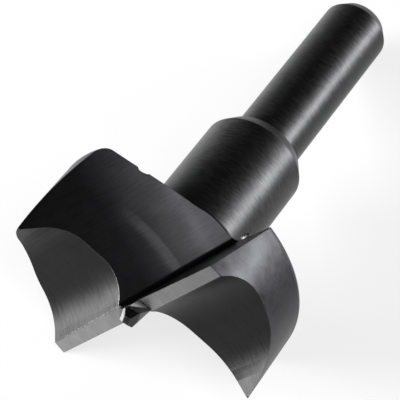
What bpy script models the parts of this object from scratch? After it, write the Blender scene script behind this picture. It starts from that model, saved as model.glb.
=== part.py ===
"""Forstner bit with two spurred wings, a stepped collar and a plain round shank.

The bit is one piece of tool steel. It is modelled in its own frame, with the
axis on Z, the lip corners at z = 0, the shank up and the first lip along +X.
It is turned, milled and ground there as the real one is, and then laid on
its side by the empty that it is parented to. Metres.
"""

from math import asin, cos, pi, radians, sin, sqrt, tan

import bmesh
import bpy
from mathutils import Matrix, Vector

# Turned body
CUTTING_DIAMETER = 0.030
COLLAR_DIAMETER = 0.012
SHANK_DIAMETER = 0.008
RIM_HEIGHT = 0.0098            # lip corners to the outer edge of the head's top
COLLAR_TOP = 0.0276            # lip corners to the top of the collar
SHANK_TOP = 0.0527             # lip corners to the end of the shank
BACK_TAPER = radians(0.72)     # the head narrows behind its cutting edges
DOME_SLOPE = radians(10.5)     # the head's top rises towards the collar
SHOULDER_RADIUS = 0.0013
COLLAR_FOOT_RADIUS = 0.0005
COLLAR_CHAMFER_WIDTH = 0.0010
COLLAR_CHAMFER_HEIGHT = 0.0017
SHANK_CHAMFER_WIDTH = 0.0009
SHANK_CHAMFER_HEIGHT = 0.0015

# Lips: each lies just ahead of the diameter and drops a little outwards
LIP_AHEAD = 0.0008
LIP_DROP = radians(1.25)
RAKE = radians(16)
LAND_RELIEF = radians(3.0)

# Flutes: a rake face and a long sloping wall that meet in a nearly square root
WALL_TURN = radians(-15.3)     # which way the wall faces, from the first lip
WALL_TILT = radians(34.2)      # how far the wall leans out over the flute
WALL_PAST_AXIS = 0.00192       # how far it stands beyond the axis at the lips
WALL_HOLLOW_RADIUS = 0.077     # the grinding wheel leaves it slightly hollow

FLUTE_ROOT_RADIUS = 0.00075

# Hollows behind the lips, which leave the spurs standing at the rim
HOLLOW_DEPTH = 0.00275
HOLLOW_CORNER_RADIUS = 0.0060
HOLLOW_FLOOR_START = 0.00588
HOLLOW_FLOOR_WIDTH = 0.00255
HOLLOW_RISE = radians(0.54)
HEEL_ANGLE = radians(50)       # slope of the relief facet behind the land
HEEL_JOIN = 0.0014             # where that facet runs into the hollow
SPUR_SLOPE = radians(44)       # slope of the hollow where it reaches the spur
SPUR_HEIGHT = 0.00024          # spur tips ahead of the lip corners

# Centre point: a flat tip, a body and a foot that spreads onto the lands
POINT_LENGTH = 0.00165         # lip corners to the tip
POINT_BODY_LENGTH = 0.00075    # lip corners to the body's lower edge
POINT_ROOT = 0.0006            # how far the foot is sunk into the web
POINT_TIP_SPAN = 0.0014        # along the lips
POINT_TIP_WIDTH = 0.0009
POINT_BODY_SPAN = 0.0025
POINT_BODY_WIDTH = 0.0018
POINT_FOOT_SPAN = 0.0042
POINT_FOOT_WIDTH = 0.0020

# It lies on its side with one flute's wall up
REST_TURN = radians(-40)       # direction from the first lip that ends upmost

ROUND_STEPS = 96
ARC_STEPS = 10
MERGE = 0.000001

HEAD_RADIUS = CUTTING_DIAMETER / 2
COLLAR_RADIUS = COLLAR_DIAMETER / 2
SHANK_RADIUS = SHANK_DIAMETER / 2
REACH = HEAD_RADIUS + SHANK_TOP   # longer than anything a cutter has to pass


def clear_scene():
    for old in list(bpy.data.objects):
        bpy.data.objects.remove(old, do_unlink=True)


def new_collection(name):
    collection = bpy.data.collections.get(name) or bpy.data.collections.new(name)
    if collection.name not in bpy.context.scene.collection.children:
        bpy.context.scene.collection.children.link(collection)
    return collection


def arc(centre, radius, start, end, steps):
    """Points on an arc, from one angle to the other."""
    points = []
    for i in range(steps + 1):
        angle = start + (end - start) * i / steps
        points.append((centre[0] + radius * cos(angle), centre[1] + radius * sin(angle)))
    return points


def shoulder_arc():
    """Rounded edge between the dome on the head and its tapered side."""
    side = BACK_TAPER
    top = DOME_SLOPE
    corner = (HEAD_RADIUS - RIM_HEIGHT * tan(side), RIM_HEIGHT)
    turn = pi / 2 - side - top
    back = SHOULDER_RADIUS / cos(turn / 2)
    middle = (side + (pi / 2 - top)) / 2
    centre = (corner[0] - back * cos(middle), corner[1] - back * sin(middle))
    return arc(centre, SHOULDER_RADIUS, pi / 2 - top, side, ARC_STEPS)


def turned_profile():
    """Half section of the bar after turning, from the shank's end down."""
    foot = COLLAR_FOOT_RADIUS
    dome_at_foot = RIM_HEIGHT + (HEAD_RADIUS - COLLAR_RADIUS - foot) * tan(DOME_SLOPE)
    points = [
        (0, SHANK_TOP),
        (SHANK_RADIUS - SHANK_CHAMFER_WIDTH, SHANK_TOP),
        (SHANK_RADIUS, SHANK_TOP - SHANK_CHAMFER_HEIGHT),
        (SHANK_RADIUS, COLLAR_TOP),
        (COLLAR_RADIUS - COLLAR_CHAMFER_WIDTH, COLLAR_TOP),
        (COLLAR_RADIUS, COLLAR_TOP - COLLAR_CHAMFER_HEIGHT),
    ]
    points += arc((COLLAR_RADIUS + foot, dome_at_foot + foot), foot, pi, 1.5 * pi, 4)
    points += shoulder_arc()
    points += [
        (HEAD_RADIUS + SPUR_HEIGHT * tan(BACK_TAPER), -SPUR_HEIGHT),
        (0, -SPUR_HEIGHT),
    ]
    return points


def turned_bar(name, collection):
    """The turned blank: its half section swept round Z."""
    mesh = bpy.data.meshes.new(name)
    points = turned_profile()
    edges = [(i, i + 1) for i in range(len(points) - 1)]
    mesh.from_pydata([(r, 0, z) for r, z in points], edges, [])
    bar = bpy.data.objects.new(name, mesh)
    collection.objects.link(bar)
    screw = bar.modifiers.new("turn", "SCREW")
    screw.axis = "Z"
    screw.angle = 2 * pi
    screw.steps = ROUND_STEPS
    screw.render_steps = ROUND_STEPS
    screw.use_merge_vertices = True
    screw.merge_threshold = MERGE
    return bar


def outline_solid(name, outline, half_length, placing, collection):
    """A flat outline drawn as a filled curve, given its length and made a mesh."""
    curve = bpy.data.curves.new(name, "CURVE")
    curve.dimensions = "2D"
    curve.fill_mode = "BOTH"
    curve.extrude = half_length
    spline = curve.splines.new("POLY")
    spline.points.add(len(outline) - 1)
    for point, (x, y) in zip(spline.points, outline):
        point.co = (x, y, 0, 1)
    spline.use_cyclic_u = True
    drawing = bpy.data.objects.new(name + "_outline", curve)
    collection.objects.link(drawing)
    evaluated = drawing.evaluated_get(bpy.context.evaluated_depsgraph_get())
    mesh = bpy.data.meshes.new_from_object(evaluated)
    bpy.data.objects.remove(drawing)
    shape = bmesh.new()
    shape.from_mesh(mesh)
    bmesh.ops.remove_doubles(shape, verts=shape.verts, dist=MERGE)
    bmesh.ops.recalc_face_normals(shape, faces=shape.faces)
    shape.transform(placing)
    shape.to_mesh(mesh)
    shape.free()
    solid = bpy.data.objects.new(name, mesh)
    collection.objects.link(solid)
    hide(solid)
    return solid


def hide(cutter):
    cutter.hide_render = True
    cutter.display_type = "WIRE"


def half_turn(solid, name):
    """The same cutter on the other side of the axis."""
    other = bpy.data.objects.new(name, solid.data.copy())
    other.data.transform(Matrix.Rotation(pi, 4, "Z"))
    solid.users_collection[0].objects.link(other)
    hide(other)
    return other


def frame_of(across, up, along, origin):
    """Placing whose local X, Y and Z are the given directions."""
    turn = Matrix((across, up, along)).transposed()
    return Matrix.Translation(origin) @ turn.to_4x4()


def flute_cutter(collection):
    """The wheel's path: square-cornered, and run along the root of the flute."""
    wall_normal = Vector((
        cos(WALL_TILT) * cos(WALL_TURN),
        cos(WALL_TILT) * sin(WALL_TURN),
        -sin(WALL_TILT),
    ))
    lip = Vector((cos(LIP_DROP), 0, -sin(LIP_DROP)))
    above_lip = Vector((sin(LIP_DROP), 0, cos(LIP_DROP)))
    rake_normal = Vector((0, -cos(RAKE), 0)) + above_lip * sin(RAKE)
    root = rake_normal.cross(wall_normal).normalized()
    along_wall = wall_normal.cross(root)
    up_rake = rake_normal.cross(root)
    if up_rake.dot(wall_normal) < 0:
        up_rake.negate()

    # The root passes the level z = 0 where both planes do
    corner = Vector((sqrt(HEAD_RADIUS ** 2 - LIP_AHEAD ** 2), -LIP_AHEAD, 0))
    rake_offset = rake_normal.dot(corner)
    wall_offset = -WALL_PAST_AXIS * cos(WALL_TILT)
    plane_matrix = Matrix((wall_normal, rake_normal, (0, 0, 1)))
    start = plane_matrix.inverted() @ Vector((wall_offset, rake_offset, 0))

    # Outline in the plane across the root: X runs along the wall, Y out of it
    opening = up_rake.angle(along_wall)
    tangent = FLUTE_ROOT_RADIUS / tan(opening / 2)
    fillet = arc((tangent, FLUTE_ROOT_RADIUS), FLUTE_ROOT_RADIUS,
                 pi / 2 + opening, 1.5 * pi, ARC_STEPS)
    wall_span = 1.5 * HEAD_RADIUS
    wall_start = asin(2 * tangent / WALL_HOLLOW_RADIUS)
    wall_end = asin(wall_span / WALL_HOLLOW_RADIUS)
    wall = arc((0, WALL_HOLLOW_RADIUS), WALL_HOLLOW_RADIUS,
               wall_start - pi / 2, wall_end - pi / 2, ARC_STEPS)
    clear = 2 * REACH
    outline = fillet + wall + [(wall_span, clear), (clear / tan(opening), clear)]
    placing = frame_of(along_wall, wall_normal, root, start)
    return outline_solid("flute_wheel", outline, REACH, placing, collection)


def grinding_frame(rise):
    """Outline X to the bit's Y, outline Y to its Z, swept along the lip from x = 0."""
    along = Vector((cos(rise), 0, sin(rise)))
    across = Vector((0, 1, 0))
    up = along.cross(across)
    half = 0.75 * HEAD_RADIUS
    return frame_of(across, up, along, along * half), half


def land_cutter(collection):
    """Clears everything below the narrow land behind the lip."""
    placing, half = grinding_frame(-LIP_DROP)
    lip_at_axis = HEAD_RADIUS * sin(LIP_DROP)
    slope = tan(LAND_RELIEF)
    front = -LIP_AHEAD - HEAD_RADIUS / 2
    back = HEEL_JOIN + (HOLLOW_FLOOR_START - HEEL_JOIN) / 4
    outline = [
        (front, lip_at_axis + (front + LIP_AHEAD) * slope),
        (front, -HEAD_RADIUS),
        (back, -HEAD_RADIUS),
        (back, lip_at_axis + (back + LIP_AHEAD) * slope),
    ]
    return outline_solid("land_wheel", outline, half, placing, collection)


def hollow_cutter(collection):
    """Round-cornered wheel that leaves the heel facet, the hollow and the spur."""
    placing, half = grinding_frame(HOLLOW_RISE)
    radius = HOLLOW_CORNER_RADIUS
    crown = HOLLOW_DEPTH - radius
    floor_end = HOLLOW_FLOOR_START + HOLLOW_FLOOR_WIDTH
    join_angle = pi / 2 + asin((HOLLOW_FLOOR_START - HEEL_JOIN) / radius)
    near = arc((HOLLOW_FLOOR_START, crown), radius, join_angle, pi / 2, ARC_STEPS)
    far = arc((floor_end, crown), radius, pi / 2, pi / 2 - SPUR_SLOPE, ARC_STEPS)
    join = near[0]
    drop = HEAD_RADIUS
    heel_start = (join[0] - drop / tan(HEEL_ANGLE), join[1] - drop)
    spur = far[-1]
    spur_end = (spur[0] + drop / tan(SPUR_SLOPE), spur[1] - drop)
    outline = [heel_start] + near + far + [spur_end]
    return outline_solid("hollow_wheel", outline, half, placing, collection)


def centre_point(collection):
    """Blunt four-sided point that stands on the web between the lips."""
    rings = [
        (POINT_TIP_SPAN, POINT_TIP_WIDTH, -POINT_LENGTH),
        (POINT_BODY_SPAN, POINT_BODY_WIDTH, -POINT_BODY_LENGTH),
        (POINT_FOOT_SPAN, POINT_FOOT_WIDTH, POINT_ROOT),
    ]
    corners = []
    for span, width, level in rings:
        x, y = span / 2, width / 2
        corners += [(x, y, level), (-x, y, level), (-x, -y, level), (x, -y, level)]
    faces = [(3, 2, 1, 0)]
    for base in range(0, 4 * len(rings) - 4, 4):
        for i in range(4):
            j = (i + 1) % 4
            faces.append((base + i, base + j, base + 4 + j, base + 4 + i))
    top = 4 * len(rings) - 4
    faces.append((top, top + 1, top + 2, top + 3))
    mesh = bpy.data.meshes.new("point_blank")
    mesh.from_pydata(corners, [], faces)
    point = bpy.data.objects.new("point_blank", mesh)
    collection.objects.link(point)
    hide(point)
    return point


def boolean(target, tool, operation):
    modifier = target.modifiers.new(tool.name, "BOOLEAN")
    modifier.operation = operation
    modifier.solver = "EXACT"
    modifier.object = tool


def steel():
    """Dark oxide finish of the tool steel."""
    material = bpy.data.materials.new("dark_tool_steel")
    material.use_nodes = True
    shader = material.node_tree.nodes["Principled BSDF"]
    shader.inputs["Base Color"].default_value = (0.10, 0.10, 0.11, 1)
    shader.inputs["Metallic"].default_value = 0.9
    shader.inputs["Roughness"].default_value = 0.38
    return material


def finished_shape(thing):
    """The part as all its cuts leave it."""
    bpy.context.view_layer.update()
    evaluated = thing.evaluated_get(bpy.context.evaluated_depsgraph_get())
    shape = bmesh.new()
    shape.from_mesh(evaluated.to_mesh())
    evaluated.to_mesh_clear()
    return shape


def balance_point(shape):
    """Centre of mass of a closed shape."""
    total = 0.0
    moment = Vector()
    for loops in shape.calc_loop_triangles():
        a, b, c = (loop.vert.co for loop in loops)
        volume = a.dot(b.cross(c)) / 6
        total += volume
        moment += volume * (a + b + c) / 4
    return moment / total


def stands_over(face, down, balance):
    """True when the balance point lies within the face, seen along down."""
    corners = [vert.co for vert in face.verts]
    middle = sum(corners, Vector()) / len(corners)
    for here, there in zip(corners, corners[1:] + corners[:1]):
        outwards = (there - here).cross(down)
        if outwards.dot(middle - here) > 0:
            outwards.negate()
        if outwards.dot(balance - here) > 0:
            return False
    return True


def resting_place(thing):
    """Lays the bit down on the three points it comes to rest on, wall upwards."""
    shape = finished_shape(thing)
    balance = balance_point(shape)
    hull = bmesh.new()
    for vert in shape.verts:
        hull.verts.new(vert.co)
    bmesh.ops.convex_hull(hull, input=hull.verts)
    wall_side = Vector((cos(REST_TURN), sin(REST_TURN), 0))
    up = None
    for face in hull.faces:
        down = face.normal.copy()
        if down.dot(face.verts[0].co - balance) < 0:
            down.negate()
        if not stands_over(face, down, balance):
            continue
        if up is None or wall_side.dot(-down) > wall_side.dot(up):
            up = -down
    forward = (Vector((0, 0, -1)) - up * up.dot(Vector((0, 0, -1)))).normalized()
    turn = Matrix((forward, up.cross(forward), up))
    laid = [turn @ vert.co for vert in shape.verts]
    low = Vector([min(point[i] for point in laid) for i in range(3)])
    high = Vector([max(point[i] for point in laid) for i in range(3)])
    shape.free()
    hull.free()
    foot = Vector(((low.x + high.x) / 2, (low.y + high.y) / 2, low.z))
    return Matrix.Translation(-foot) @ turn.to_4x4()


def main():
    clear_scene()
    parts = new_collection("forstner_bit")
    cutters = new_collection("cutters")

    bit = turned_bar("forstner_bit", parts)
    bit.data.materials.append(steel())
    for tool in (land_cutter(cutters), hollow_cutter(cutters)):
        boolean(bit, tool, "DIFFERENCE")
        boolean(bit, half_turn(tool, tool.name + "_opposite"), "DIFFERENCE")
    boolean(bit, centre_point(cutters), "UNION")
    flute = flute_cutter(cutters)
    boolean(bit, flute, "DIFFERENCE")
    boolean(bit, half_turn(flute, "flute_wheel_opposite"), "DIFFERENCE")

    place = resting_place(bit)
    rest = bpy.data.objects.new("rest", None)
    parts.objects.link(rest)
    for thing in [bit] + list(cutters.objects):
        thing.parent = rest
    rest.matrix_world = place


main()
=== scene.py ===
"""Dressing of a 30 mm forstner bit that lies on a pale table.

The bit is machined here the way the real one is: turned, ground, milled, and its
edges broken. It is made upright, with its axis on Z and its lips at z = 0, and is
then laid where the frame has it. Metres.
"""

from math import asin, cos, hypot, pi, radians, sin, sqrt, tan

import bpy
from mathutils import Matrix, Vector


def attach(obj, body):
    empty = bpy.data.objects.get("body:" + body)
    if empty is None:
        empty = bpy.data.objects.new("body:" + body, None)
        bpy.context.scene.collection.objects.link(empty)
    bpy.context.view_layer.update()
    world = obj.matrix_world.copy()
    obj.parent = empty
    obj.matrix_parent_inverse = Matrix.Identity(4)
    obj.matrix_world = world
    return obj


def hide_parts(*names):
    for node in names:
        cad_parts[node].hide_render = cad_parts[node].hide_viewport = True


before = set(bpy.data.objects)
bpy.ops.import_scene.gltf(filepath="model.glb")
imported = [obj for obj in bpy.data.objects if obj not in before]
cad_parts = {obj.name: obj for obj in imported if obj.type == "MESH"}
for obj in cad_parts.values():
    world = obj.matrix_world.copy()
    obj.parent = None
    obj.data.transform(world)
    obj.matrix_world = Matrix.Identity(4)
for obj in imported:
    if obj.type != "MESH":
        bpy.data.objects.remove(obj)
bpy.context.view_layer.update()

# The blank. A bar of tool steel turned to a wide head, a short collar and an 8 mm
# shank, and left dark by its hardening. Its half section is drawn point by point and
# spun round the axis. The head is a micron under 15 mm, to stay inside the frame's box.
head_radius = 0.014999
rim_height = 0.0098
head_taper = radians(0.72)
dome_slope = radians(10.5)
shoulder_radius = 0.0013
collar_radius = 0.006
collar_foot_radius = 0.0005
collar_top = 0.0276
collar_chamfer = (0.0010, 0.0017)
shank_radius = 0.004
shank_top = 0.0527
shank_chamfer = (0.0009, 0.0015)
spur_height = 0.00024
turning_steps = 288
corner_steps = 12
foot_steps = 6
weld = 0.000002


def arc(centre, radius, start, end, steps):
    """Evenly spaced points round a centre, from one angle to another."""
    points = []
    for i in range(steps + 1):
        angle = start + (end - start) * i / steps
        points.append((centre[0] + radius * cos(angle), centre[1] + radius * sin(angle)))
    return points


def draw_line(name, points):
    """Extrudes one vertex from point to point. Leaves the line in edit mode."""
    bpy.ops.object.select_all(action="DESELECT")
    bpy.ops.mesh.primitive_plane_add(size=0.001, location=(0, 0, 0))
    drawing = bpy.context.object
    drawing.name = name
    bpy.ops.object.mode_set(mode="EDIT")
    bpy.ops.mesh.select_mode(type="VERT")
    bpy.ops.mesh.select_all(action="SELECT")
    bpy.ops.mesh.merge(type="CENTER")
    bpy.ops.transform.translate(value=Vector(points[0]))
    for last, point in zip(points, points[1:]):
        step = Vector(point) - Vector(last)
        bpy.ops.mesh.extrude_region_move(TRANSFORM_OT_translate={"value": step})
    bpy.ops.mesh.select_all(action="SELECT")
    return drawing


def shoulder():
    """The round where the dome of the head turns down into its rim."""
    turn = pi / 2 - head_taper - dome_slope
    middle = head_taper + turn / 2
    back = shoulder_radius / cos(turn / 2)
    corner = head_radius - rim_height * tan(head_taper)
    centre = (corner - back * cos(middle), rim_height - back * sin(middle))
    return arc(centre, shoulder_radius, pi / 2 - dome_slope, head_taper, corner_steps)


dome_foot = rim_height + (head_radius - collar_radius - collar_foot_radius) * tan(dome_slope)
foot_centre = (collar_radius + collar_foot_radius, dome_foot + collar_foot_radius)
section = [
    (0, shank_top),
    (shank_radius - shank_chamfer[0], shank_top),
    (shank_radius, shank_top - shank_chamfer[1]),
    (shank_radius, collar_top),
    (collar_radius - collar_chamfer[0], collar_top),
    (collar_radius, collar_top - collar_chamfer[1]),
]
section += arc(foot_centre, collar_foot_radius, pi, 1.5 * pi, foot_steps)
section += shoulder()
section += [(head_radius + spur_height * tan(head_taper), -spur_height), (0, -spur_height)]

bit = draw_line("bit_body", [(r, 0, z) for r, z in section])
bpy.ops.mesh.spin(steps=turning_steps, angle=2 * pi, center=(0, 0, 0), axis=(0, 0, 1))
bpy.ops.mesh.select_all(action="SELECT")
bpy.ops.mesh.remove_doubles(threshold=weld)
bpy.ops.mesh.normals_make_consistent(inside=False)
bpy.ops.object.mode_set(mode="OBJECT")

# Where the bit will lie: on its collar, head rim and one spur, with its axis tilted and
# a flute wall up. The finishes need it, because tool marks follow the bit's own axis.
lying_tilt = radians(9.3626)
lying_roll = radians(53.010)
lying_origin = Vector((0.025239, 0, 0.012276))

up_side = Vector((-sin(lying_tilt), 0, cos(lying_tilt)))
level_side = Vector((0, 1, 0))
bit_x = cos(lying_roll) * level_side + sin(lying_roll) * up_side
bit_y = sin(lying_roll) * level_side - cos(lying_roll) * up_side
bit_z = bit_x.cross(bit_y)
lying_turn = Matrix((bit_x, bit_y, bit_z)).transposed()

noise_range = (0.3, 0.7)
scratch_detail = 4.0
scratch_roughness = 0.6
cloud_scale = 420.0
cloud_detail = 5.0
groove_depth = 0.00002
middle_tone = 0.5

# The sockets of a Mix node that is set to colour.
mix_share = 0
mix_a = 6
mix_b = 7
mix_result = 2


def steel_finish(name, colour, roughness, marks, turn=(0, 0, 0)):
    """Dark tool steel with the fine marks of one machining step.

    marks holds the scale of the pattern along the bit's own X, Y and Z, how strongly it
    varies colour and roughness, how strongly slow clouds vary the colour, and the
    strength of its bump. turn sets the pattern askew.
    """
    finish = bpy.data.materials.new(name)
    finish.use_nodes = True
    nodes = finish.node_tree.nodes
    links = finish.node_tree.links
    shader = nodes["Principled BSDF"]
    shader.inputs["Metallic"].default_value = 1.0

    place = nodes.new("ShaderNodeTexCoord")
    on_bit = nodes.new("ShaderNodeMapping")
    on_bit.name = "on_bit"
    on_bit.vector_type = "TEXTURE"
    on_bit.inputs["Location"].default_value = lying_origin
    on_bit.inputs["Rotation"].default_value = lying_turn.to_euler()
    links.new(place.outputs["Object"], on_bit.inputs["Vector"])

    turned_marks = nodes.new("ShaderNodeMapping")
    turned_marks.vector_type = "TEXTURE"
    turned_marks.inputs["Rotation"].default_value = turn
    links.new(on_bit.outputs["Vector"], turned_marks.inputs["Vector"])
    scaled_marks = nodes.new("ShaderNodeMapping")
    scaled_marks.inputs["Scale"].default_value = marks["scale"]
    links.new(turned_marks.outputs["Vector"], scaled_marks.inputs["Vector"])
    scratches = nodes.new("ShaderNodeTexNoise")
    scratches.inputs["Scale"].default_value = 1.0
    scratches.inputs["Detail"].default_value = scratch_detail
    scratches.inputs["Roughness"].default_value = scratch_roughness
    links.new(scaled_marks.outputs["Vector"], scratches.inputs["Vector"])

    clouds = nodes.new("ShaderNodeTexNoise")
    clouds.inputs["Scale"].default_value = cloud_scale
    clouds.inputs["Detail"].default_value = cloud_detail
    links.new(on_bit.outputs["Vector"], clouds.inputs["Vector"])

    def spread(noise, middle, reach):
        """The noise, carried over to as much as reach below and above the middle."""
        node = nodes.new("ShaderNodeMapRange")
        node.inputs["From Min"].default_value = noise_range[0]
        node.inputs["From Max"].default_value = noise_range[1]
        node.inputs["To Min"].default_value = middle - reach
        node.inputs["To Max"].default_value = middle + reach
        links.new(noise.outputs["Fac"], node.inputs["Value"])
        return node.outputs["Result"]

    tone = nodes.new("ShaderNodeMath")
    tone.operation = "ADD"
    links.new(spread(scratches, middle_tone, marks["contrast"]), tone.inputs[0])
    links.new(spread(clouds, 0, marks["clouds"]), tone.inputs[1])
    shade = nodes.new("ShaderNodeMix")
    shade.name = "shade"
    shade.data_type = "RGBA"
    shade.inputs[mix_a].default_value = (0, 0, 0, 1)
    shade.inputs[mix_b].default_value = (*(part / middle_tone for part in colour), 1)
    links.new(tone.outputs["Value"], shade.inputs[mix_share])
    links.new(shade.outputs[mix_result], shader.inputs["Base Color"])
    links.new(spread(scratches, roughness, marks["polish"]), shader.inputs["Roughness"])

    grooves = nodes.new("ShaderNodeBump")
    grooves.inputs["Strength"].default_value = marks["bump"]
    grooves.inputs["Distance"].default_value = groove_depth
    links.new(scratches.outputs["Fac"], grooves.inputs["Height"])
    links.new(grooves.outputs["Normal"], shader.inputs["Normal"])
    return finish


def stretch_shine(finish, amount, groove=None):
    """Spreads the shine across the grooves, which run round the axis if none is given."""
    nodes = finish.node_tree.nodes
    links = finish.node_tree.links
    run = nodes.new("ShaderNodeVectorMath")
    run.operation = "CROSS_PRODUCT"
    surface = nodes.new("ShaderNodeNewGeometry")
    links.new(surface.outputs["Normal"], run.inputs[1])
    if groove is None:
        place = nodes.new("ShaderNodeTexCoord")
        from_axis = nodes.new("ShaderNodeVectorMath")
        from_axis.operation = "SUBTRACT"
        from_axis.inputs[1].default_value = lying_origin
        round_axis = nodes.new("ShaderNodeVectorMath")
        round_axis.operation = "CROSS_PRODUCT"
        round_axis.inputs[0].default_value = bit_z
        links.new(place.outputs["Object"], from_axis.inputs[0])
        links.new(from_axis.outputs["Vector"], round_axis.inputs[1])
        links.new(round_axis.outputs["Vector"], run.inputs[0])
    else:
        run.inputs[0].default_value = lying_turn @ groove
    links.new(run.outputs["Vector"], nodes["Principled BSDF"].inputs["Tangent"])
    nodes["Principled BSDF"].inputs["Anisotropic"].default_value = amount


turned_steel = steel_finish("turned_steel", (0.050, 0.050, 0.0515), roughness=0.41, marks={
    "scale": (900, 900, 9000),
    "contrast": 0.24,
    "clouds": 0.06,
    "polish": 0.05,
    "bump": 0.6,
})
stretch_shine(turned_steel, amount=0.55)
rim_steel = steel_finish("rim_steel", (0.0385, 0.0385, 0.0425), roughness=0.42, marks={
    "scale": (1500, 1500, 6000),
    "contrast": 0.14,
    "clouds": 0.14,
    "polish": 0.04,
    "bump": 0.25,
})
stretch_shine(rim_steel, amount=0.4)
# Painted shade: the collar's foot and the head's top face out to the rim round take a near black
# steel, for the shade in the corner where collar and head meet.
painted_corner_shade = steel_finish("painted_corner_shade", (0.008, 0.008, 0.008), roughness=0.50, marks={
    "scale": (900, 900, 6000),
    "contrast": 0.10,
    "clouds": 0.10,
    "polish": 0.04,
    "bump": 0.15,
})
bit.data.materials.append(turned_steel)
bit.data.materials.append(rim_steel)
bit.data.materials.append(painted_corner_shade)
on_rim = head_radius - 2 * shoulder_radius
for face in bit.data.polygons:
    from_axis = hypot(face.center.x, face.center.y)
    if from_axis > on_rim:
        face.material_index = 1
    elif from_axis > collar_radius and face.center.z < dome_foot + collar_foot_radius:
        face.material_index = 2

# The lands and hollows, ground in the hardened steel. A wheel run out along each lip
# leaves a narrow flat behind it, and a round-cornered one scoops the rest down so that a
# spur stands at the rim. The left land is painted lighter than the right: painted light.
lip_ahead = 0.0008
lip_drop = radians(1.25)
land_relief = radians(3.0)
land_overlap = 0.0003
left_land_painted_light = 0.57
right_land_painted_light = 0.34
hollow_depth = 0.00275
hollow_corner = 0.0060
hollow_floor = (0.00588, 0.00843)
hollow_rise = radians(0.54)
hollow_steps = 60
heel_angle = radians(50)
heel_join = 0.0014
spur_slope = radians(44)
wheel_reach = 0.0225


def wheel_path(name, outline, half_length, placing):
    """A closed outline in local X and Y, given its length along Z and put in place."""
    wheel = draw_line(name, [(x, y, -half_length) for x, y in outline])
    bpy.ops.mesh.edge_face_add()
    bpy.ops.mesh.extrude_region_move(TRANSFORM_OT_translate={"value": (0, 0, 2 * half_length)})
    bpy.ops.mesh.select_all(action="SELECT")
    bpy.ops.mesh.normals_make_consistent(inside=False)
    bpy.ops.object.mode_set(mode="OBJECT")
    wheel.data.transform(placing)
    return wheel


def cut(tool, operation="DIFFERENCE", both_sides=True):
    """Cuts with the tool where it stands, then again from the opposite side."""
    turns = (0, pi) if both_sides else (0,)
    for turn in turns:
        tool.data.transform(Matrix.Rotation(turn, 4, "Z"))
        tool.data.update()
        change = bit.modifiers.new(tool.name, "BOOLEAN")
        change.operation = operation
        change.solver = "EXACT"
        change.material_mode = "TRANSFER"
        change.object = tool
        bpy.ops.object.select_all(action="DESELECT")
        bpy.context.view_layer.objects.active = bit
        bit.select_set(True)
        bpy.ops.object.modifier_apply(modifier=change.name)
    bpy.data.objects.remove(tool)


def along_lip(rise, start=0.0):
    """Local X to the bit's Y, local Y to its Z, and the length out along the lip.

    start is how far out from the axis the path begins.
    """
    along = Vector((cos(rise), 0, sin(rise)))
    up = along.cross(Vector((0, 1, 0)))
    turn = Matrix(((0, 1, 0), up, along)).transposed().to_4x4()
    return Matrix.Translation(along * (start + wheel_reach / 2)) @ turn


def shade_along(finish, axis, places, shades):
    """Gives the steel one shade at the first place on the bit's axis, one at the last."""
    nodes = finish.node_tree.nodes
    links = finish.node_tree.links
    place = nodes.new("ShaderNodeSeparateXYZ")
    tone = nodes.new("ShaderNodeMapRange")
    tone.inputs["From Min"].default_value = places[0]
    tone.inputs["From Max"].default_value = places[1]
    tone.inputs["To Min"].default_value = shades[0]
    tone.inputs["To Max"].default_value = shades[1]
    links.new(nodes["on_bit"].outputs["Vector"], place.inputs["Vector"])
    links.new(place.outputs[axis], tone.inputs["Value"])
    links.new(tone.outputs["Result"], nodes["shade"].inputs[mix_b])


lip_at_axis = head_radius * sin(lip_drop)
land_front = -lip_ahead - head_radius / 2
land_back = heel_join + (hollow_floor[0] - heel_join) / 4
land_outline = [
    (land_front, lip_at_axis + (land_front + lip_ahead) * tan(land_relief)),
    (land_front, -head_radius),
    (land_back, -head_radius),
    (land_back, lip_at_axis + (land_back + lip_ahead) * tan(land_relief)),
]
land_steel = steel_finish("land_steel", (0.232, 0.232, 0.229), roughness=0.42, marks={
    "scale": (9000, 700, 700),
    "contrast": 0.08,
    "clouds": 0.05,
    "polish": 0.04,
    "bump": 0.15,
})
stretch_shine(land_steel, amount=0.3, groove=Vector((0, 1, 0)))
# Painted light: the lands are painted lighter at the left and darker at the right.
shade_along(land_steel, "X", (-head_radius, head_radius), (left_land_painted_light, right_land_painted_light))
land_placing = along_lip(-lip_drop, start=-land_overlap)
land_wheel = wheel_path("land_wheel", land_outline, wheel_reach / 2, land_placing)
land_wheel.data.materials.append(land_steel)
cut(land_wheel)

crown = hollow_depth - hollow_corner
near_start = pi / 2 + asin((hollow_floor[0] - heel_join) / hollow_corner)
near = arc((hollow_floor[0], crown), hollow_corner, near_start, pi / 2, hollow_steps)
far = arc((hollow_floor[1], crown), hollow_corner, pi / 2, pi / 2 - spur_slope, hollow_steps)
drop = head_radius
heel_foot = (near[0][0] - drop / tan(heel_angle), near[0][1] - drop)
spur_foot = (far[-1][0] + drop / tan(spur_slope), far[-1][1] - drop)
hollow_outline = [heel_foot] + near + far + [spur_foot]
hollow_steel = steel_finish("hollow_steel", (0.0159, 0.0159, 0.0162), roughness=0.44, marks={
    "scale": (6000, 500, 500),
    "contrast": 0.14,
    "clouds": 0.06,
    "polish": 0.05,
    "bump": 0.2,
})
stretch_shine(hollow_steel, amount=0.4, groove=Vector((0, 1, 0)))
hollow_wheel = wheel_path("hollow_wheel", hollow_outline, wheel_reach / 2, along_lip(hollow_rise))
hollow_wheel.data.materials.append(hollow_steel)
cut(hollow_wheel)

# The centre point. A blunt nib of the same steel, left standing on the web: a flat tip, a
# steep body and a foot that spreads onto the lands. It is darker at the tip and paler at
# the foot, and one side takes the steel of the lands.
point_tip = (0.0012, 0.0007, -0.00150)
point_body = (0.0029, 0.0018, -0.00080)
point_foot = (0.0042, 0.0020, 0.0006)
point_turn = radians(25)
point_fade = (-0.00078, -0.00060)
point_shades = (0.02, 0.22)
bright_side = -0.7

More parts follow.
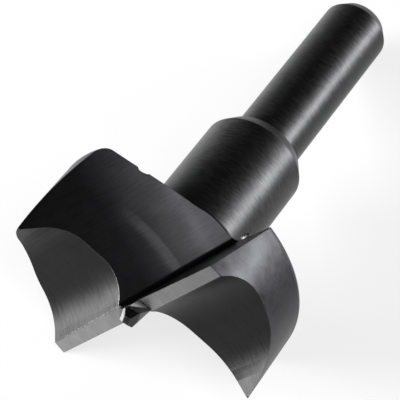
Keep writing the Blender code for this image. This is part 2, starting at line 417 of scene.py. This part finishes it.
bpy.ops.object.select_all(action="DESELECT")
bpy.ops.mesh.primitive_plane_add(size=1, location=(0, 0, 0))
point = bpy.context.object
point.name = "point_blank"
bpy.ops.object.mode_set(mode="EDIT")
bpy.ops.mesh.select_mode(type="FACE")
bpy.ops.mesh.select_all(action="SELECT")
bpy.ops.transform.resize(value=(point_tip[0], point_tip[1], 1), center_override=(0, 0, 0))
bpy.ops.transform.rotate(value=point_turn, orient_axis="Z", center_override=(0, 0, 0))
bpy.ops.transform.translate(value=(0, 0, point_tip[2]))
for last, ring in ((point_tip, point_body), (point_body, point_foot)):
    rise = Vector((0, 0, ring[2] - last[2]))
    bpy.ops.mesh.extrude_region_move(TRANSFORM_OT_translate={"value": rise})
    bpy.ops.transform.rotate(value=-point_turn, orient_axis="Z", center_override=(0, 0, 0))
    bpy.ops.transform.resize(
        value=(ring[0] / last[0], ring[1] / last[1], 1),
        center_override=(0, 0, ring[2]),
    )
    if ring is point_body:
        bpy.ops.transform.rotate(value=point_turn, orient_axis="Z", center_override=(0, 0, 0))
bpy.ops.mesh.select_all(action="SELECT")
bpy.ops.mesh.normals_make_consistent(inside=False)
bpy.ops.object.mode_set(mode="OBJECT")
point_steel = steel_finish("point_steel", (0.010, 0.010, 0.010), roughness=0.34, marks={
    "scale": (3000, 3000, 3000),
    "contrast": 0.12,
    "clouds": 0.10,
    "polish": 0.04,
    "bump": 0.2,
})
shade_along(point_steel, "Z", point_fade, point_shades)
point.data.materials.append(point_steel)
point.data.materials.append(land_steel)
for face in point.data.polygons:
    if face.normal.y < bright_side and face.center.z < point_body[2]:
        face.material_index = 1
cut(point, "UNION", both_sides=False)

# The flutes. Each is one pass of a wheel with a nearly square corner: its side cuts
# the rake face under the lip and its rim the long, very slightly hollow wall.
rake = radians(16)
wall_turn = radians(-15.3)
wall_tilt = radians(34.2)
wall_past_axis = 0.00192
wall_hollow = 0.077
wall_steps = 120
flute_root = 0.00075
flute_reach = 0.0677

wall_normal = Vector((
    cos(wall_tilt) * cos(wall_turn),
    cos(wall_tilt) * sin(wall_turn),
    -sin(wall_tilt),
))
above_lip = Vector((sin(lip_drop), 0, cos(lip_drop)))
rake_normal = Vector((0, -cos(rake), 0)) + above_lip * sin(rake)
root = rake_normal.cross(wall_normal).normalized()
along_wall = wall_normal.cross(root)
up_rake = rake_normal.cross(root)
if up_rake.dot(wall_normal) < 0:
    up_rake.negate()
corner = Vector((sqrt(head_radius ** 2 - lip_ahead ** 2), -lip_ahead, 0))
planes = Matrix((wall_normal, rake_normal, (0, 0, 1)))
offsets = Vector((-wall_past_axis * cos(wall_tilt), rake_normal.dot(corner), 0))
root_start = planes.inverted() @ offsets

opening = up_rake.angle(along_wall)
tangent = flute_root / tan(opening / 2)
wall_span = 1.5 * head_radius
wall_angles = (asin(2 * tangent / wall_hollow) - pi / 2, asin(wall_span / wall_hollow) - pi / 2)
flute_outline = arc((tangent, flute_root), flute_root, pi / 2 + opening, 1.5 * pi, corner_steps)
flute_outline += arc((0, wall_hollow), wall_hollow, wall_angles[0], wall_angles[1], wall_steps)
clear = 2 * flute_reach
flute_outline += [(wall_span, clear), (clear / tan(opening), clear)]
flute_turn = Matrix((along_wall, wall_normal, root)).transposed().to_4x4()
flute_placing = Matrix.Translation(root_start) @ flute_turn
wall_steel = steel_finish("wall_steel", (0.0272, 0.0276, 0.0294), roughness=0.36, marks={
    "scale": (6500, 700, 500),
    "contrast": 0.13,
    "clouds": 0.06,
    "polish": 0.04,
    "bump": 0.15,
}, turn=flute_turn.to_euler())
stretch_shine(wall_steel, amount=0.6, groove=root)

# The oxide on the flutes, with a painted reflection: each wall is painted lighter toward
# its top in a long blend, with one pale painted highlight across it. Both flutes carry it,
# so places on the far one are turned over first. Each stop of the blend is a height up the root and a
# shade.
root_shade = 0.022
painted_wall_sheen = [
    (0.0042, 0.016),
    (0.0060, 0.029),
    (0.0080, 0.056),
    (0.0105, 0.100),
    (0.0118, 0.136),
    (0.0126, 0.112),
    (0.0150, 0.098),
]
sheen_length = 0.015
sheen_lean = 3.5
blueness = 1.08
first_flute_side = (0.4, -1, 0)
rake_edge = (0.00055, 0.00075)
# The painted highlight band across each wall: its height, bow, light, soft edges and end.
painted_highlight_top = 0.0080
painted_highlight_bow = 24.0
painted_highlight_light = 0.042
painted_highlight_below = (0.0013, 0.0003)
painted_highlight_above = (0.0004, 0.0001)
painted_highlight_end = (0.0100, 0.0055)

wall_nodes = wall_steel.node_tree.nodes
wall_links = wall_steel.node_tree.links


def calculate(operation, first, second):
    """A Math node; each input is a socket or a number."""
    node = wall_nodes.new("ShaderNodeMath")
    node.operation = operation
    for socket, value in zip(node.inputs, (first, second)):
        if isinstance(value, bpy.types.NodeSocket):
            wall_links.new(value, socket)
        else:
            socket.default_value = value
    return node.outputs["Value"]


def fade(value, start, end):
    """Rises from 0 at start to 1 at end, smoothly."""
    node = wall_nodes.new("ShaderNodeMapRange")
    node.interpolation_type = "SMOOTHSTEP"
    wall_links.new(value, node.inputs["Value"])
    node.inputs["From Min"].default_value = start
    node.inputs["From Max"].default_value = end
    return node.outputs["Result"]


on_bit = wall_nodes["on_bit"].outputs["Vector"]
which_side = wall_nodes.new("ShaderNodeVectorMath")
which_side.operation = "DOT_PRODUCT"
which_side.inputs[1].default_value = first_flute_side
wall_links.new(on_bit, which_side.inputs[0])
flip = calculate("SIGN", which_side.outputs["Value"], 0)
flips = wall_nodes.new("ShaderNodeCombineXYZ")
wall_links.new(flip, flips.inputs["X"])
wall_links.new(flip, flips.inputs["Y"])
flips.inputs["Z"].default_value = 1
folded = wall_nodes.new("ShaderNodeVectorMath")
folded.operation = "MULTIPLY"
wall_links.new(on_bit, folded.inputs[0])
wall_links.new(flips.outputs["Vector"], folded.inputs[1])
on_flute = wall_nodes.new("ShaderNodeMapping")
on_flute.vector_type = "TEXTURE"
on_flute.inputs["Location"].default_value = root_start
on_flute.inputs["Rotation"].default_value = flute_turn.to_euler()
wall_links.new(folded.outputs["Vector"], on_flute.inputs["Vector"])
wall_place = wall_nodes.new("ShaderNodeSeparateXYZ")
wall_links.new(on_flute.outputs["Vector"], wall_place.inputs["Vector"])
from_root = wall_place.outputs["X"]
up_root = wall_place.outputs["Z"]

# Painted reflection: the wall's colour is blended lighter up the root, leaning with the bow.
bow = calculate("MULTIPLY", from_root, from_root)
leaned = calculate("ADD", up_root, calculate("MULTIPLY", bow, sheen_lean))
blend = wall_nodes.new("ShaderNodeValToRGB")
stops = blend.color_ramp.elements
stops.remove(stops[1])
stops[0].position = painted_wall_sheen[0][0] / sheen_length
for height, _ in painted_wall_sheen[1:]:
    stops.new(height / sheen_length)
for stop, (height, tone) in zip(stops, painted_wall_sheen):
    stop.color = (tone, tone, tone * blueness, 1)
wall_links.new(calculate("DIVIDE", leaned, sheen_length), blend.inputs["Fac"])

# A painted highlight: a pale band added across each wall's painted reflection.
highlight_place = calculate("ADD", up_root, calculate("MULTIPLY", bow, painted_highlight_bow))
highlight_rise = fade(highlight_place, *(painted_highlight_top - below for below in painted_highlight_below))
highlight_fall = fade(highlight_place, *(painted_highlight_top + above for above in painted_highlight_above))
highlight_reach = fade(from_root, *painted_highlight_end)
painted_highlight = calculate("MULTIPLY", calculate("MULTIPLY", highlight_rise, highlight_fall), highlight_reach)
with_highlight = wall_nodes.new("ShaderNodeMix")
with_highlight.data_type = "RGBA"
with_highlight.blend_type = "ADD"
with_highlight.inputs[mix_b].default_value = (painted_highlight_light, painted_highlight_light, painted_highlight_light, 1)
wall_links.new(painted_highlight, with_highlight.inputs[mix_share])
wall_links.new(blend.outputs["Color"], with_highlight.inputs[mix_a])
past_root = wall_nodes.new("ShaderNodeMix")
past_root.data_type = "RGBA"
past_root.inputs[mix_a].default_value = (root_shade, root_shade, root_shade, 1)
wall_links.new(fade(from_root, *rake_edge), past_root.inputs[mix_share])
wall_links.new(with_highlight.outputs[mix_result], past_root.inputs[mix_b])
wall_links.new(past_root.outputs[mix_result], wall_nodes["shade"].inputs[mix_b])

flute_wheel = wheel_path("flute_wheel", flute_outline, flute_reach, flute_placing)
flute_wheel.data.materials.append(wall_steel)
cut(flute_wheel)

# The chip and the burr. A small bite is out of one wall's top edge, and a crumb of torn
# metal stands where the same flute runs out beside the collar.
chip_place = (0.0114, 0.0008, 0.00986)
chip_size = (0.0007, 0.0004, 0.0004)
chip_turn = radians(25.6)
chip_seed = 3
burr_place = (0.0082, 0.0023, 0.01130)
burr_size = (0.0008, 0.00030, 0.00045)
burr_seed = 8
roughing = 0.00004


def crumb(name, size, placing, seed):
    """A small ragged lump: a fine ball, stretched, with its points pushed about."""
    bpy.ops.object.select_all(action="DESELECT")
    bpy.ops.mesh.primitive_ico_sphere_add(subdivisions=2, radius=1, location=(0, 0, 0))
    lump = bpy.context.object
    lump.name = name
    bpy.ops.object.mode_set(mode="EDIT")
    bpy.ops.mesh.select_all(action="SELECT")
    bpy.ops.transform.resize(value=size, center_override=(0, 0, 0))
    bpy.ops.transform.vertex_random(offset=roughing, uniform=0.5, normal=0.0, seed=seed)
    bpy.ops.object.mode_set(mode="OBJECT")
    lump.data.transform(placing)
    return lump


burr_steel = steel_finish("burr_steel", (0.07, 0.07, 0.07), roughness=0.50, marks={
    "scale": (5000, 5000, 5000),
    "contrast": 0.50,
    "clouds": 0.10,
    "polish": 0.05,
    "bump": 1.0,
})
chip_placing = flute_placing @ Matrix.Translation(Vector(chip_place))
chip_placing = chip_placing @ Matrix.Rotation(chip_turn, 4, "Y")
chip = crumb("chip_tool", chip_size, chip_placing, chip_seed)
chip.data.materials.append(wall_steel)
cut(chip, both_sides=False)
burr = crumb("burr", burr_size, Matrix.Translation(Vector(burr_place)), burr_seed)
burr.data.materials.append(burr_steel)
cut(burr, "UNION", both_sides=False)

# The broken edges. Grinding and tumbling round every edge, so all sharp edges get a very
# small round, with a hairline of brighter metal on it: a painted glint where the edges
# catch the light. Stray points and needless edges that the cuts left are cleaned away first.
edge_break = 0.00005
edge_weld = 0.00001
flat_within = radians(0.05)
sharp_beyond = radians(24)

bpy.ops.object.select_all(action="DESELECT")
bpy.context.view_layer.objects.active = bit
bit.select_set(True)
bpy.ops.object.mode_set(mode="EDIT")
bpy.ops.mesh.select_all(action="SELECT")
bpy.ops.mesh.remove_doubles(threshold=edge_weld)
bpy.ops.mesh.dissolve_limited(angle_limit=flat_within)
bpy.ops.mesh.select_mode(type="EDGE")
bpy.ops.mesh.select_all(action="DESELECT")
bpy.ops.mesh.edges_select_sharp(sharpness=sharp_beyond)
# Painted glint: the rounds on the edges take this brighter steel.
edge_glint = steel_finish("edge_glint", (0.045, 0.045, 0.045), roughness=0.45, marks={
    "scale": (2500, 2500, 2500),
    "contrast": 0.30,
    "clouds": 0.10,
    "polish": 0.05,
    "bump": 0.2,
})
bit.data.materials.append(edge_glint)
bpy.ops.mesh.bevel(
    offset=edge_break,
    segments=2,
    profile=0.5,
    clamp_overlap=False,
    material=len(bit.data.materials) - 1,
)
bpy.ops.mesh.select_all(action="SELECT")
bpy.ops.mesh.normals_make_consistent(inside=False)
bpy.ops.object.mode_set(mode="OBJECT")

# The finished bit. It is laid on its side where the frame has it, loose and held by
# nothing, and its turned faces are smoothed while the ground ones stay flat. It takes
# the place of the plain solid.
smooth_within = radians(20)
flatness = 100

bit.matrix_world = Matrix.Translation(lying_origin) @ lying_turn.to_4x4()
bpy.ops.object.select_all(action="DESELECT")
bpy.context.view_layer.objects.active = bit
bit.select_set(True)
bpy.ops.object.transform_apply(location=True, rotation=True, scale=True)
bpy.ops.object.shade_smooth_by_angle(angle=smooth_within)
flat_faces = bit.modifiers.new("flat_faces", "WEIGHTED_NORMAL")
flat_faces.mode = "FACE_AREA"
flat_faces.weight = flatness
flat_faces.keep_sharp = True
bpy.ops.object.modifier_apply(modifier=flat_faces.name)

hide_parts("forstner_bit")
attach(bit, "root")

# The table. A large sheet of white card; to the camera and in the steel it shows as a
# clean white ground that still carries the bit's own soft shadow.
table_size = 6.0
table_cuts = 3
table_shade = 0.85
table_roughness = 0.9
table_glow = 0.75

bpy.ops.object.select_all(action="DESELECT")
bpy.ops.mesh.primitive_plane_add(size=table_size, location=(0, 0, 0))
table = bpy.context.object
table.name = "table"
bpy.ops.object.mode_set(mode="EDIT")
bpy.ops.mesh.select_all(action="SELECT")
bpy.ops.mesh.subdivide(number_cuts=table_cuts)
bpy.ops.object.mode_set(mode="OBJECT")
card = bpy.data.materials.new("white_card")
card.use_nodes = True
card_nodes = card.node_tree.nodes
card_links = card.node_tree.links
card_shader = card_nodes["Principled BSDF"]
card_shader.inputs["Base Color"].default_value = (table_shade, table_shade, table_shade, 1)
card_shader.inputs["Roughness"].default_value = table_roughness
card_shader.inputs["Specular IOR Level"].default_value = 0.0
ray = card_nodes.new("ShaderNodeLightPath")
camera_or_glossy = card_nodes.new("ShaderNodeMath")
camera_or_glossy.operation = "ADD"
seen = card_nodes.new("ShaderNodeMath")
seen.operation = "ADD"
seen.use_clamp = True
share = card_nodes.new("ShaderNodeMath")
share.operation = "MULTIPLY"
share.inputs[1].default_value = table_glow
white = card_nodes.new("ShaderNodeEmission")
white.inputs["Color"].default_value = (1, 1, 1, 1)
white.inputs["Strength"].default_value = 1.0
ground = card_nodes.new("ShaderNodeMixShader")
card_links.new(ray.outputs["Is Camera Ray"], camera_or_glossy.inputs[0])
card_links.new(ray.outputs["Is Glossy Ray"], camera_or_glossy.inputs[1])
card_links.new(camera_or_glossy.outputs["Value"], seen.inputs[0])
card_links.new(ray.outputs["Is Transmission Ray"], seen.inputs[1])
card_links.new(seen.outputs["Value"], share.inputs[0])
card_links.new(share.outputs["Value"], ground.inputs["Fac"])
card_links.new(card_shader.outputs["BSDF"], ground.inputs[1])
card_links.new(white.outputs["Emission"], ground.inputs[2])
card_links.new(ground.outputs["Shader"], card_nodes["Material Output"].inputs["Surface"])
table.data.materials.append(card)

# The studio. A dim room and four softboxes: two on the right that draw the long
# highlight and soften it, one high that lights the table, and a strong low strip on the
# left. A box's glow is the brightness of its face.
room_light = 0.05
aim = Vector((0, 0, 0.010))
softboxes = {
    "key_softbox": {"azimuth": 132, "height": 6, "distance": 0.60, "size": (0.26, 0.16), "glow": 26.5},
    "key_spread": {"azimuth": 140, "height": 20, "distance": 0.60, "size": (0.20, 0.20), "glow": 3.4},
    "top_softbox": {"azimuth": 60, "height": 60, "distance": 0.70, "size": (0.30, 0.30), "glow": 6.0},
    "low_strip": {"azimuth": -60, "height": 8, "distance": 0.60, "size": (0.36, 0.14), "glow": 114.0},
}

world = bpy.data.worlds.new("studio")
bpy.context.scene.world = world
world.use_nodes = True
world.node_tree.nodes["Background"].inputs["Color"].default_value = (1, 1, 1, 1)
world.node_tree.nodes["Background"].inputs["Strength"].default_value = room_light

for name, box in softboxes.items():
    azimuth = radians(box["azimuth"])
    height = radians(box["height"])
    towards = Vector((cos(height) * cos(azimuth), cos(height) * sin(azimuth), sin(height)))
    bpy.ops.object.light_add(type="AREA", location=aim + box["distance"] * towards)
    lamp = bpy.context.object
    lamp.name = name
    lamp.rotation_euler = towards.to_track_quat("Z", "Y").to_euler()
    lamp.data.shape = "RECTANGLE"
    lamp.data.size = box["size"][0]
    lamp.data.size_y = box["size"][1]
    lamp.data.energy = box["glow"] * pi * box["size"][0] * box["size"][1]

# The camera. A long lens that looks down on the bit from its head's side, along the
# photograph's line of sight, from a place worked out from the outlines there.
camera_place = Vector((0.126407, 0.070855, 0.210287))
camera_right = Vector((-0.49551, 0.86832, -0.02235))
camera_up = Vector((-0.72048, -0.39650, 0.56894))
camera_lens = 200.315
camera_near = 0.01

bpy.ops.object.select_all(action="DESELECT")
bpy.ops.object.camera_add()
camera = bpy.context.object
camera_back = camera_right.cross(camera_up).normalized()
camera_up = camera_back.cross(camera_right)
camera_turn = Matrix((camera_right, camera_up, camera_back)).transposed()
camera.matrix_world = Matrix.Translation(camera_place) @ camera_turn.to_4x4()
camera.data.lens = camera_lens
camera.data.clip_start = camera_near
bpy.context.scene.camera = camera
bpy.context.scene.view_settings.view_transform = "Standard"
